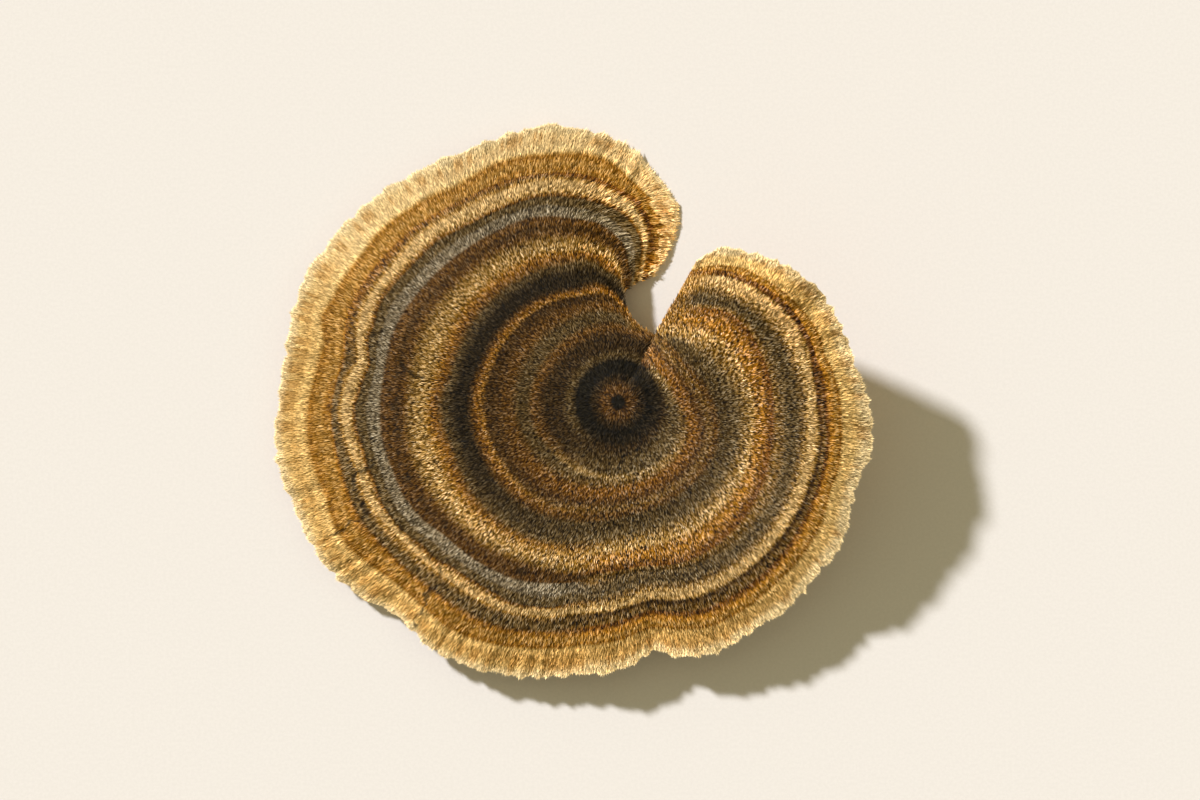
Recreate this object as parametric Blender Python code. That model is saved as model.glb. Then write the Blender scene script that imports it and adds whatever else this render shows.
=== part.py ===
# A dried turkey tail cap: one thin bracket, grown almost full circle around its eye.
# It winds like a low ramp. The left lobe's hooked tip lies on the surface, and the cap
# climbs round to the raised right lobe, across an open notch from where it began.
# Growth lines fan out from the eye, and growth rings cross them. Lengths are in millimetres
# until a point goes into the mesh. The origin is the middle of the flat cut on the foot.
import bpy
import bmesh
import numpy as np

MM = 0.001

# Driving dimensions
EYE = np.array((4.0, 0.0))           # growth centre, from the middle of the cut foot
EYE_HEIGHT = 3.0
FLESH_AT_EYE = 2.0                   # thickness of the flesh
FLESH_AT_MARGIN = 0.62
RIM_BULGE = 0.14                     # how far the rounded rim stands out between its two edges
FOOT_CUT = (8.0, 5.5)                # half length and half width of the cut face
FOOT_NECK = 1.04                     # the foot widens to this, times the cut
FOOT_FLARE = 1.22                    # and meets the underside here, times the cut
CUT_TO_NOTCH = 0.6                   # clear flesh kept between the foot's flare and the first open row
FLOOR_CLEARANCE = 0.15               # the lobe's tip stays this far above the surface
COLUMNS = 146                        # growth lines in the mesh

# Growth rings, from the closed inner ring to the margin
RINGS = ("inner", "rust", "black", "tan", "silver", "cream_in", "cream_out", "dark", "ochre", "margin")
# Rows of the mesh, as places among the rings: 0 is the inner ring, 9 the margin
TOP_PLACES = (0, 0.5, 1, 1.5, 2, 2.5, 3, 3.5, 4, 4.5, 5, 6, 7, 7.5, 8, 8.5, 9)
UNDER_PLACES = (0, 0.5, 1, 2, 3, 4, 6, 8, 9)
INNER_SHARES = (0.25, 0.5, 0.75)     # closed rows between the eye and the inner ring
INNER_RADIUS = 6.2
INNER_RISE_TO_NOTCH = 1.2
NOTCH_ANGLE = 420.0
INNER_RISE_WIDTH = 8.0

# Radius of each ring at these angles about the eye, anticlockwise from the hooked lobe to the raised lobe
STATIONS = (100, 120, 140, 155, 165, 170, 180, 200, 213, 225, 240, 255, 270, 278, 290, 310, 330, 345, 360,
            380, 400, 410, 421)
RING_RADII = {
    "rust": (11.2, 12.6, 13.5, 13.9, 14.1, 14.2, 14.3, 13.9, 13.6, 13.2, 12.3, 11.4, 11.0, 11.0, 11.0, 10.9,
             10.8, 10.3, 9.4, 8.2, 7.6, 7.7, 7.7),
    "black": (15.2, 16.4, 17.2, 17.7, 17.8, 17.9, 18.5, 18.0, 17.6, 16.9, 15.8, 15.0, 14.1, 13.9, 13.8, 13.7,
              13.5, 13.0, 12.5, 10.8, 9.5, 9.0, 8.4),
    "tan": (16.5, 18.3, 19.7, 20.8, 21.0, 21.0, 21.2, 21.0, 20.1, 19.4, 18.1, 17.1, 16.5, 16.3, 16.9, 16.9,
            16.2, 15.5, 15.2, 14.8, 13.8, 12.0, 10.0),
    "silver": (19.0, 21.1, 22.2, 23.7, 23.9, 23.7, 24.1, 23.7, 22.3, 21.5, 20.4, 18.6, 17.2, 16.9, 17.6, 18.1,
               17.8, 17.0, 16.2, 15.6, 14.6, 12.8, 10.8),
    "cream_in": (21.6, 23.2, 24.6, 26.0, 26.0, 25.4, 26.5, 26.0, 24.6, 24.0, 22.8, 21.0, 19.8, 18.9, 19.6, 19.9,
                 19.5, 19.0, 18.6, 18.0, 16.2, 14.9, 12.8),
    "cream_out": (22.8, 24.5, 26.1, 27.5, 27.3, 26.8, 28.0, 27.1, 25.4, 24.8, 24.0, 22.0, 20.8, 20.0, 21.0, 21.3,
                  21.1, 20.6, 19.8, 19.3, 17.4, 16.0, 14.0),
    "dark": (23.2, 25.0, 26.7, 28.2, 28.1, 27.8, 28.8, 28.5, 27.3, 26.4, 25.6, 23.7, 22.1, 21.3, 22.5, 22.7,
             22.0, 21.5, 20.7, 20.0, 18.1, 16.3, 14.8),
    "ochre": (25.6, 27.2, 28.9, 30.6, 30.8, 30.1, 31.2, 31.3, 30.0, 28.5, 27.8, 25.9, 23.8, 22.9, 24.2, 24.1,
              23.7, 23.0, 22.2, 21.1, 19.0, 17.6, 15.0),
}

# The margin has more bays than the rings inside it
MARGIN = ((100, 28.4), (106, 28.9), (112, 29.4), (120, 29.7), (126, 29.6), (132, 30.9), (138, 31.7), (145, 32.8),
          (152, 33.4), (158, 33.9), (163, 34.4), (168, 34.1), (173, 33.9), (178, 34.5), (186, 34.5), (193, 35.0),
          (200, 34.1), (206, 34.1), (213, 33.2), (219, 32.0), (223, 30.8), (229, 31.2), (236, 30.9), (243, 30.2),
          (250, 29.4), (256, 28.7), (262, 27.6), (268, 27.3), (274, 26.3), (278, 25.2), (282, 26.0), (287, 26.9),
          (293, 27.0), (300, 26.6), (308, 26.9), (317, 26.2), (324, 26.7), (331, 26.4), (337, 25.2), (345, 25.8),
          (352, 25.9), (360, 25.2), (368, 24.3), (375, 23.3), (382, 23.6), (390, 23.0), (398, 21.9), (406, 20.4),
          (413, 19.2), (418, 17.8), (421, 15.9))

# The hooked lobe's growth lines turn clockwise, so they are drawn point by point, ring by ring, from the eye
LOBE_ANGLES = (62, 74, 86, 92, 97, 103, 109)
LOBE_LINES = (
    ((3.7, 6.4), (1.3, 8.3), (0.55, 10.7), (0.65, 11.3), (0.9, 11.45), (1.8, 12.05), (2.4, 12.35), (2.7, 12.5),
     (3.0, 12.6), (3.4, 12.8)),
    ((2.3, 5.8), (-0.4, 10.2), (0.0, 12.3), (0.5, 12.9), (1.1, 13.4), (2.1, 13.8), (2.7, 14.0), (3.2, 14.0),
     (3.7, 14.0), (4.4, 14.2)),
    ((1.0, 6.1), (-1.5, 11.1), (-1.2, 14.0), (-0.6, 15.3), (0.3, 16.1), (2.0, 16.4), (2.9, 16.5), (3.5, 16.5),
     (4.2, 16.6), (5.5, 16.6)),
    ((0.4, 6.2), (-2.1, 11.3), (-2.2, 14.4), (-1.8, 15.7), (-0.9, 17.3), (1.2, 17.8), (2.3, 18.2), (3.0, 18.4),
     (4.2, 18.5), (5.95, 18.6)),
    ((0.0, 6.2), (-2.6, 11.3), (-3.0, 14.5), (-2.8, 15.9), (-2.0, 18.0), (0.2, 18.9), (1.3, 19.6), (2.1, 19.9),
     (3.4, 20.3), (5.5, 20.5)),
    ((-0.5, 6.2), (-3.3, 11.3), (-3.9, 14.6), (-3.8, 16.1), (-3.3, 18.3), (-1.6, 19.9), (-0.6, 20.8), (0.1, 21.2),
     (0.9, 22.9), (1.8, 25.1)),
    ((-0.9, 6.1), (-3.9, 11.2), (-4.6, 14.5), (-4.8, 16.2), (-4.7, 18.5), (-3.8, 20.6), (-3.0, 21.8), (-2.5, 22.4),
     (-1.6, 24.6), (-0.3, 26.4)),
)

# Past the lobe a growth line starts at its inner angle and ends at its outer one; soon they are straight
TURNED_LINES = ((120, 104), (132, 122), (147, 141), (161, 158), (175, 174))
STRAIGHT_LINES = (190, 200, 208, 213, 218, 225, 232, 240, 250, 260, 266, 272, 275, 278, 281, 285, 292, 300, 310,
                  320, 328, 334, 340, 350, 360, 370, 380, 390, 400, 407, 413, 417, 420.5)
TURN_SHARE = (0.0, 0.0, 0.12, 0.2, 0.35, 0.52, 0.6, 0.66, 0.82, 1.0)

# Height of the top at five of the rings, along growth lines named by their inner angle.
# Between the rings it follows the way travelled along the line, so that close rings make no step.
HEIGHT_RINGS = ("inner", "rust", "tan", "cream_in", "margin")
HEIGHTS = (
    (62, 2.7, 2.5, 2.4, 1.0, 0.45),
    (74, 3.0, 3.0, 2.3, 1.0, 0.45),
    (86, 3.1, 3.5, 2.8, 1.9, 0.45),
    (97, 3.2, 3.9, 3.9, 2.8, 0.5),
    (109, 3.3, 4.2, 4.8, 4.2, 0.9),
    (132, 3.4, 4.5, 5.6, 5.3, 1.9),
    (161, 3.3, 4.5, 5.6, 5.6, 2.5),
    (190, 3.2, 4.3, 5.2, 5.2, 2.2),
    (218, 3.1, 4.1, 4.9, 4.8, 2.0),
    (240, 3.1, 3.9, 4.8, 4.9, 2.7),
    (272, 3.1, 3.9, 4.9, 5.2, 3.9),
    (300, 3.2, 4.3, 5.7, 6.1, 4.8),
    (334, 3.5, 5.0, 7.1, 8.2, 8.1),
    (345, 3.7, 5.3, 7.8, 9.1, 9.5),
    (360, 3.9, 5.7, 8.6, 9.9, 10.5),
    (380, 4.2, 5.9, 9.9, 11.6, 12.9),
    (400, 4.1, 5.6, 10.6, 12.6, 15.0),
    (413, 3.4, 4.3, 8.1, 10.5, 13.6),
    (420.5, 2.7, 2.9, 5.0, 7.6, 11.0),
)

# Low relief of the top: each ring's ridge (up) or furrow (down), full along the ring
RIDGES = {"rust": 0.16, "black": -0.14, "tan": 0.10, "silver": -0.18, "cream_in": 0.12, "cream_out": 0.12,
          "dark": -0.06, "ochre": 0.06}
# Shares of that relief kept along the growth lines named: it softens towards both sides of the notch
RIDGE_FADE = ((75, 0.35), (120, 1.0), (290, 1.0), (360, 0.3))

# Ruffles: waves of the outer cap, each as waves round the cap, height at the margin and phase
RUFFLES = ((11, 0.22, 0.4), (19, 0.16, 1.9), (31, 0.13, 3.1))
# Shares of the ruffles kept: the lobe's tip lies flat
RUFFLE_FADE = ((100, 0.15), (135, 1.0))
# Folds that run in from the bays of the margin: angle, half width in degrees, depth
FOLDS = ((169, 4.0, 0.35), (221, 5.0, 0.45), (263, 4.0, 0.25), (278, 4.0, 0.25), (317, 4.0, 0.3), (338, 4.5, 0.2),
         (374, 4.5, 0.35))


def smooth(x, stops, values):
    """A smooth curve through the values given at the stops, read at x. Values may be rows of numbers."""
    x = np.atleast_1d(np.asarray(x, float))
    stops = np.asarray(stops, float)
    values = np.asarray(values, float)
    column = (-1,) + (1,) * (values.ndim - 1)
    gap = np.diff(stops)
    slope = np.diff(values, axis=0) / gap.reshape(column)
    tangent = np.empty_like(values)
    tangent[0] = slope[0]
    tangent[-1] = slope[-1]
    share = (gap[1:] / (gap[1:] + gap[:-1])).reshape(column)
    tangent[1:-1] = slope[:-1] * share + slope[1:] * (1 - share)
    i = np.clip(np.searchsorted(stops, x, side="right") - 1, 0, len(stops) - 2)
    width = gap[i].reshape(column)
    s = ((x - stops[i]) / gap[i]).reshape(column)
    start = (1 + 2 * s) * (1 - s) ** 2 * values[i] + s * (1 - s) ** 2 * width * tangent[i]
    end = s * s * (3 - 2 * s) * values[i + 1] + s * s * (s - 1) * width * tangent[i + 1]
    return start + end


def ring_radius(ring, angle):
    """Distance of a ring from the eye, at an angle in degrees."""
    if ring == "inner":
        return INNER_RADIUS + INNER_RISE_TO_NOTCH * np.exp(-(((angle - NOTCH_ANGLE) / INNER_RISE_WIDTH) ** 2))
    if ring == "margin":
        angles, radii = zip(*MARGIN)
        return float(smooth(angle, angles, radii)[0])
    return float(smooth(angle, STATIONS, RING_RADII[ring])[0])


def drawn_growth_lines():
    """The growth lines that the whole cap is woven on: their inner angles, and a point on every ring."""
    angles = list(LOBE_ANGLES)
    lines = [list(line) for line in LOBE_LINES]
    for inner_angle, outer_angle in TURNED_LINES + tuple((a, a) for a in STRAIGHT_LINES):
        line = []
        for ring, share in zip(RINGS, TURN_SHARE):
            angle = inner_angle + (outer_angle - inner_angle) * share
            radius = ring_radius(ring, angle)
            line.append((radius * np.cos(np.radians(angle)), radius * np.sin(np.radians(angle))))
        angles.append(inner_angle)
        lines.append(line)
    lines[-1][0] = lines[0][0]
    return np.array(angles, float), np.array(lines, float)


LINE_ANGLES, LINE_POINTS = drawn_growth_lines()


def even_columns():
    """Growth lines of the mesh, spread evenly along a ring half way out and along the margin together."""
    dense = np.linspace(LINE_ANGLES[0], LINE_ANGLES[-1], 1500)
    points = smooth(dense, LINE_ANGLES, LINE_POINTS)
    travelled = np.zeros(len(dense))
    for ring in ("tan", "margin"):
        steps = np.linalg.norm(np.diff(points[:, RINGS.index(ring)], axis=0), axis=1)
        travelled[1:] += np.cumsum(steps) / steps.sum()
    return np.interp(np.linspace(0, travelled[-1], COLUMNS), travelled, dense)


def ruffle(angle, outward):
    """Height added by the ruffles and folds. outward is 0 at the tan band and 1 at the margin."""
    reach = np.clip(outward, 0, 1) ** 1.6
    height = 0.0
    for waves, size, phase in RUFFLES:
        height = height + size * np.sin(np.radians(angle) * waves + phase)
    height = height * np.interp(angle, *zip(*RUFFLE_FADE))
    for middle, half_width, depth in FOLDS:
        height = height - depth * np.exp(-(((angle - middle) / half_width) ** 2))
    return height * reach


def surface_row(columns, ring_place, ridge=0.0):
    """Points of the top along one ring. ring_place is a place in RINGS, which may lie between two rings."""
    points = smooth(columns, LINE_ANGLES, LINE_POINTS)
    rings = np.arange(len(RINGS))
    place = np.broadcast_to(ring_place, columns.shape)
    plan = np.array([smooth(p, rings, line)[0] for p, line in zip(place, points)])
    travelled = np.zeros(points.shape[:2])
    travelled[:, 1:] = np.cumsum(np.linalg.norm(np.diff(points, axis=1), axis=2), axis=1)
    height_rows = smooth(columns, [row[0] for row in HEIGHTS], [row[1:] for row in HEIGHTS])
    height_places = [RINGS.index(ring) for ring in HEIGHT_RINGS]
    way = [smooth(p, rings, line)[0] for p, line in zip(place, travelled)]
    heights = np.array([smooth(w, line[height_places], row)[0] for w, line, row in zip(way, travelled, height_rows)])
    outward = (place - RINGS.index("tan")) / (len(RINGS) - 1 - RINGS.index("tan"))
    heights = heights + ruffle(columns, outward) + ridge * np.interp(columns, *zip(*RIDGE_FADE))
    return np.column_stack((plan, heights))


def flesh(ring_place):
    """Thickness of the cap at a place in RINGS."""
    share = np.asarray(ring_place, float) / (len(RINGS) - 1)
    return FLESH_AT_EYE + (FLESH_AT_MARGIN - FLESH_AT_EYE) * share ** 1.3


def foot_radius(direction):
    """Distance from the eye to the edge of the cut foot, an ellipse about the origin, along a direction."""
    half_length, half_width = FOOT_CUT
    along = direction / np.array((half_length, half_width))
    start = EYE / np.array((half_length, half_width))
    a = along @ along
    b = start @ along
    c = start @ start - 1.0
    return (-b + np.sqrt(b * b - a * c)) / a


def bowl_height(inner_height, share):
    """Height between the eye and the inner ring, at a share of the way."""
    return EYE_HEIGHT + (inner_height - EYE_HEIGHT) * share ** 1.7


def top_rows(columns):
    """The top, from its first closed ring to the margin."""
    inner = surface_row(columns, 0.0)
    rows = []
    for share in INNER_SHARES:
        ring = inner.copy()
        ring[:, :2] *= share
        ring[:, 2] = bowl_height(inner[:, 2], share)
        rows.append(ring)
    for place in TOP_PLACES:
        ridge = RIDGES.get(RINGS[place], 0.0) if isinstance(place, int) else 0.0
        rows.append(surface_row(columns, place, ridge))
    return rows


def under_rows(columns):
    """The cut face's edge, the foot's neck and flare, then the underside out to the margin."""
    inner = surface_row(columns, 0.0)
    heading = inner[:, :2] / np.linalg.norm(inner[:, :2], axis=1)[:, None]
    cut = np.array([foot_radius(direction) for direction in heading])
    places = np.linspace(0, len(RINGS) - 1, 37)
    fan = np.stack([surface_row(columns, place) for place in places], axis=1)
    distance = np.linalg.norm(fan[:, :, :2], axis=2)

    def top_at(radii):
        """Points of the top at these distances from the eye, and their places in RINGS."""
        found = []
        found_places = []
        for radius, near, line, start in zip(radii, distance, fan, inner):
            if radius <= near[0]:
                share = radius / near[0]
                found.append((*(start[:2] * share), bowl_height(start[2], share)))
                found_places.append(0.0)
            else:
                place = np.interp(radius, near, places)
                found.append([np.interp(place, places, line[:, axis]) for axis in range(3)])
                found_places.append(place)
        return np.array(found), np.array(found_places)

    cut_edge = np.column_stack((heading * cut[:, None], np.zeros(len(columns))))
    flare, _ = top_at(cut * FOOT_FLARE)
    flare[:, 2] -= FLESH_AT_EYE
    neck = np.column_stack((heading * cut[:, None] * FOOT_NECK, flare[:, 2] * 0.6))
    first_open, first_place = top_at(np.maximum(distance[:, 0], cut * FOOT_FLARE + CUT_TO_NOTCH))
    first_open[:, 2] -= flesh(first_place)
    rows = [cut_edge, neck, flare, first_open]
    last = UNDER_PLACES[-1]
    for under_place in UNDER_PLACES[1:]:
        place = first_place + (last - first_place) * under_place / last
        row = surface_row(columns, place)
        row[:, 2] = np.maximum(row[:, 2] - flesh(place), FLOOR_CLEARANCE)
        rows.append(row)
    return rows


def rim_row(top_edge, under_edge):
    """The rounded middle of the rim, a little outside the margin's two edges."""
    middle = (top_edge + under_edge) / 2
    along = np.gradient(middle[:, :2], axis=0)
    outward = np.column_stack((along[:, 1], -along[:, 0]))
    outward /= np.linalg.norm(outward, axis=1)[:, None]
    middle[:, :2] += outward * RIM_BULGE
    return middle


def add_row(bm, row, closed):
    """Vertices of one row. A closed row's last column is its first one again."""
    count = len(row) - 1 if closed else len(row)
    made = [bm.verts.new(((x + EYE[0]) * MM, (y + EYE[1]) * MM, z * MM)) for x, y, z in row[:count]]
    if closed:
        made.append(made[0])
    return made


def bridge(bm, lower, upper):
    """Quads between two rows of as many columns, and a triangle where the rows share a vertex."""
    for a, b, c, d in zip(lower, lower[1:], upper[1:], upper):
        corners = []
        for vertex in (a, b, c, d):
            if vertex not in corners:
                corners.append(vertex)
        if len(corners) > 2:
            bm.faces.new(corners)


def close_notch_side(bm, top, under, column, flip):
    """The wall along one side of the notch, between the top's rows and the fewer rows of the underside."""
    nearest = [int(np.argmin(np.abs(np.array(UNDER_PLACES) - place))) for place in TOP_PLACES]
    partner = [under[i][column] for i in nearest]
    for i in range(len(TOP_PLACES) - 1):
        corners = [top[i][column], top[i + 1][column], partner[i + 1], partner[i]]
        if corners[2] is corners[3]:
            corners.pop()
        if corners[0] is corners[-1]:
            corners.pop()
        if flip:
            corners.reverse()
        bm.faces.new(corners)


def build_cap():
    """The whole cap as one closed body."""
    bm = bmesh.new()
    columns = even_columns()
    top = top_rows(columns)
    under = under_rows(columns)
    rim = rim_row(top[-1], under[-1])
    inner_rows = len(INNER_SHARES)
    closed_under = len(under) - len(UNDER_PLACES)

    eye = bm.verts.new((EYE[0] * MM, EYE[1] * MM, EYE_HEIGHT * MM))
    top_vertices = [add_row(bm, row, closed=i < inner_rows) for i, row in enumerate(top)]
    under_vertices = [add_row(bm, row, closed=i < closed_under) for i, row in enumerate(under)]
    rim_vertices = add_row(bm, rim, closed=False)

    # the notch starts at one vertex on each side of the flesh
    for rows, closed_count in ((top_vertices, inner_rows), (under_vertices, closed_under)):
        spare = rows[closed_count][-1]
        rows[closed_count][-1] = rows[closed_count][0]
        bm.verts.remove(spare)

    first_ring = top_vertices[0]
    for a, b in zip(first_ring, first_ring[1:]):
        bm.faces.new((eye, a, b))
    for lower, upper in zip(top_vertices, top_vertices[1:]):
        bridge(bm, lower, upper)
    bm.faces.new(under_vertices[0][:-1])
    for lower, upper in zip(under_vertices, under_vertices[1:]):
        bridge(bm, upper, lower)
    bridge(bm, top_vertices[-1], rim_vertices)
    bridge(bm, rim_vertices, under_vertices[-1])

    notch_top = top_vertices[inner_rows:]
    notch_under = under_vertices[closed_under:]
    for column, flip in ((0, False), (-1, True)):
        close_notch_side(bm, notch_top, notch_under, column, flip)
        corners = [top_vertices[-1][column], rim_vertices[column], under_vertices[-1][column]]
        if flip:
            corners.reverse()
        bm.faces.new(corners)

    bmesh.ops.recalc_face_normals(bm, faces=bm.faces)
    mesh = bpy.data.meshes.new("cap")
    bm.to_mesh(mesh)
    bm.free()
    mesh.shade_smooth()
    mesh.set_sharp_from_angle(angle=np.radians(50))
    return mesh


def cap_material():
    """Velvety, dull, in the brown that the zoned top has on average."""
    material = bpy.data.materials.new("zoned_velvet")
    material.use_nodes = True
    shader = material.node_tree.nodes["Principled BSDF"]
    shader.inputs["Base Color"].default_value = (0.27, 0.17, 0.075, 1.0)
    shader.inputs["Roughness"].default_value = 0.95
    shader.inputs["Metallic"].default_value = 0.0
    return material


for leftover in list(bpy.data.objects):
    bpy.data.objects.remove(leftover, do_unlink=True)

cap = bpy.data.objects.new("cap", build_cap())
cap.data.materials.append(cap_material())
bpy.context.scene.collection.objects.link(cap)
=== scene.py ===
import bpy
import numpy as np
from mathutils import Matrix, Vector


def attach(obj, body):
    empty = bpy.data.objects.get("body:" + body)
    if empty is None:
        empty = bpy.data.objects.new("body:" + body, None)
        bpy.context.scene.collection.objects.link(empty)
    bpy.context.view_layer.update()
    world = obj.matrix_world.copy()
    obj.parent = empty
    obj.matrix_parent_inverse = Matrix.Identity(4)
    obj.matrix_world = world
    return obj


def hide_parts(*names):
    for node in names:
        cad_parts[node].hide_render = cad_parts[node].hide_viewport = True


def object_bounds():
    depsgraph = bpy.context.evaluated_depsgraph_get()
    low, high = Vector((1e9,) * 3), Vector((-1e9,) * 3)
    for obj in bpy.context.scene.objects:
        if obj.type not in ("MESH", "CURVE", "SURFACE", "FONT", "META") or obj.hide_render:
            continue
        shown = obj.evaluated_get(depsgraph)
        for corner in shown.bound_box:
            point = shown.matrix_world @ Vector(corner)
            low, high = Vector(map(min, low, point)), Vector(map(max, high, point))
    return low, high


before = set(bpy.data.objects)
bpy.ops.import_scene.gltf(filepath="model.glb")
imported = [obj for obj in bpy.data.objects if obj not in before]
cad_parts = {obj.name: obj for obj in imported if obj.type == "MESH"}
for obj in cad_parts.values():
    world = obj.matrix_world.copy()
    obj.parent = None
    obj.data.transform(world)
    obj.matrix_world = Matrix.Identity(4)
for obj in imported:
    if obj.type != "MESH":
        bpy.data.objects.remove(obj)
solid_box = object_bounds()
MM = 0.001


# The skin of the cap
# One bracket, grown almost full circle round its eye: tough flesh, 2 mm thick at the eye and
# 0.6 mm at the margin. It grew ring by ring, so its shape is told by growth rings and the growth
# lines that cross them, from the hooked left lobe round to the raised right lobe.
EYE = np.array((4.0, 0.0))
EYE_HEIGHT = 3.0
FLESH_AT_EYE = 2.0
FLESH_AT_MARGIN = 0.62
INNER_RADIUS = 6.2
INNER_RISE_TO_NOTCH = 1.2
NOTCH_ANGLE = 420.0
INNER_RISE_WIDTH = 8.0
FLOOR_CLEARANCE = 0.15
EYE_CURVE = 1.7                      # above 1, the top is flattest at the eye
FLESH_CURVE = 1.3                    # above 1, the flesh thins most towards the margin

RINGS = ("inner", "rust", "black", "tan", "silver", "cream_in", "cream_out", "dark", "ochre", "margin")

# Distance of each ring from the eye, at stations round the cap in degrees, and that of the margin
STATIONS = (100, 120, 140, 155, 165, 170, 180, 200, 213, 225, 240, 255, 270, 278, 290, 310, 330, 345, 360,
            380, 400, 410, 421)
RING_RADII = {
    "rust": (11.2, 12.6, 13.5, 13.9, 14.1, 14.2, 14.3, 13.9, 13.6, 13.2, 12.3, 11.4, 11.0, 11.0, 11.0,
             10.9, 10.8, 10.3, 9.4, 8.2, 7.6, 7.7, 7.7),
    "black": (15.2, 16.4, 17.2, 17.7, 17.8, 17.9, 18.5, 18.0, 17.6, 16.9, 15.8, 15.0, 14.1, 13.9, 13.8,
              13.7, 13.5, 13.0, 12.5, 10.8, 9.5, 9.0, 8.4),
    "tan": (16.5, 18.3, 19.7, 20.8, 21.0, 21.0, 21.2, 21.0, 20.1, 19.4, 18.1, 17.1, 16.5, 16.3, 16.9,
            16.9, 16.2, 15.5, 15.2, 14.8, 13.8, 12.0, 10.0),
    "silver": (19.0, 21.1, 22.2, 23.7, 23.9, 23.7, 24.1, 23.7, 22.3, 21.5, 20.4, 18.6, 17.2, 16.9, 17.6,
               18.1, 17.8, 17.0, 16.2, 15.6, 14.6, 12.8, 10.8),
    "cream_in": (21.6, 23.2, 24.6, 26.0, 26.0, 25.4, 26.5, 26.0, 24.6, 24.0, 22.8, 21.0, 19.8, 18.9, 19.6,
                 19.9, 19.5, 19.0, 18.6, 18.0, 16.2, 14.9, 12.8),
    "cream_out": (22.8, 24.5, 26.1, 27.5, 27.3, 26.8, 28.0, 27.1, 25.4, 24.8, 24.0, 22.0, 20.8, 20.0,
                  21.0, 21.3, 21.1, 20.6, 19.8, 19.3, 17.4, 16.0, 14.0),
    "dark": (23.2, 25.0, 26.7, 28.2, 28.1, 27.8, 28.8, 28.5, 27.3, 26.4, 25.6, 23.7, 22.1, 21.3, 22.5,
             22.7, 22.0, 21.5, 20.7, 20.0, 18.1, 16.3, 14.8),
    "ochre": (25.6, 27.2, 28.9, 30.6, 30.8, 30.1, 31.2, 31.3, 30.0, 28.5, 27.8, 25.9, 23.8, 22.9, 24.2,
              24.1, 23.7, 23.0, 22.2, 21.1, 19.0, 17.6, 15.0),
}
MARGIN = ((100, 28.4), (106, 28.9), (112, 29.4), (120, 29.7), (126, 29.6), (132, 30.9), (138, 31.7),
          (145, 32.8), (152, 33.4), (158, 33.9), (163, 34.4), (168, 34.1), (173, 33.9), (178, 34.5),
          (186, 34.5), (193, 35.0), (200, 34.1), (206, 34.1), (213, 33.2), (219, 32.0), (223, 30.8),
          (229, 31.2), (236, 30.9), (243, 30.2), (250, 29.4), (256, 28.7), (262, 27.6), (268, 27.3),
          (274, 26.3), (278, 25.2), (282, 26.0), (287, 26.9), (293, 27.0), (300, 26.6), (308, 26.9),
          (317, 26.2), (324, 26.7), (331, 26.4), (337, 25.2), (345, 25.8), (352, 25.9), (360, 25.2),
          (368, 24.3), (375, 23.3), (382, 23.6), (390, 23.0), (398, 21.9), (406, 20.4), (413, 19.2),
          (418, 17.8), (421, 15.9))

# On the hooked lobe each growth line is drawn, by its point on every ring, from the eye's side out.
# The next lines turn on their way from an inner angle to an outer one, and the rest run straight.
LOBE_ANGLES = (62, 74, 86, 92, 97, 103, 109)
LOBE_LINES = (
    ((3.7, 6.4), (1.3, 8.3), (0.55, 10.7), (0.65, 11.3), (0.9, 11.45), (1.8, 12.05), (2.4, 12.35),
     (2.7, 12.5), (3.0, 12.6), (3.4, 12.8)),
    ((2.3, 5.8), (-0.4, 10.2), (0.0, 12.3), (0.5, 12.9), (1.1, 13.4), (2.1, 13.8), (2.7, 14.0),
     (3.2, 14.0), (3.7, 14.0), (4.4, 14.2)),
    ((1.0, 6.1), (-1.5, 11.1), (-1.2, 14.0), (-0.6, 15.3), (0.3, 16.1), (2.0, 16.4), (2.9, 16.5),
     (3.5, 16.5), (4.2, 16.6), (5.5, 16.6)),
    ((0.4, 6.2), (-2.1, 11.3), (-2.2, 14.4), (-1.8, 15.7), (-0.9, 17.3), (1.2, 17.8), (2.3, 18.2),
     (3.0, 18.4), (4.2, 18.5), (5.95, 18.6)),
    ((0.0, 6.2), (-2.6, 11.3), (-3.0, 14.5), (-2.8, 15.9), (-2.0, 18.0), (0.2, 18.9), (1.3, 19.6),
     (2.1, 19.9), (3.4, 20.3), (5.5, 20.5)),
    ((-0.5, 6.2), (-3.3, 11.3), (-3.9, 14.6), (-3.8, 16.1), (-3.3, 18.3), (-1.6, 19.9), (-0.6, 20.8),
     (0.1, 21.2), (0.9, 22.9), (1.8, 25.1)),
    ((-0.9, 6.1), (-3.9, 11.2), (-4.6, 14.5), (-4.8, 16.2), (-4.7, 18.5), (-3.8, 20.6), (-3.0, 21.8),
     (-2.5, 22.4), (-1.6, 24.6), (-0.3, 26.4)),
)
TURNED_LINES = ((120, 104), (132, 122), (147, 141), (161, 158), (175, 174))
STRAIGHT_LINES = (190, 200, 208, 213, 218, 225, 232, 240, 250, 260, 266, 272, 275, 278, 281, 285, 292,
                  300, 310, 320, 328, 334, 340, 350, 360, 370, 380, 390, 400, 407, 413, 417, 420.5)
TURN_SHARE = (0.0, 0.0, 0.12, 0.2, 0.35, 0.52, 0.6, 0.66, 0.82, 1.0)

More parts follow.
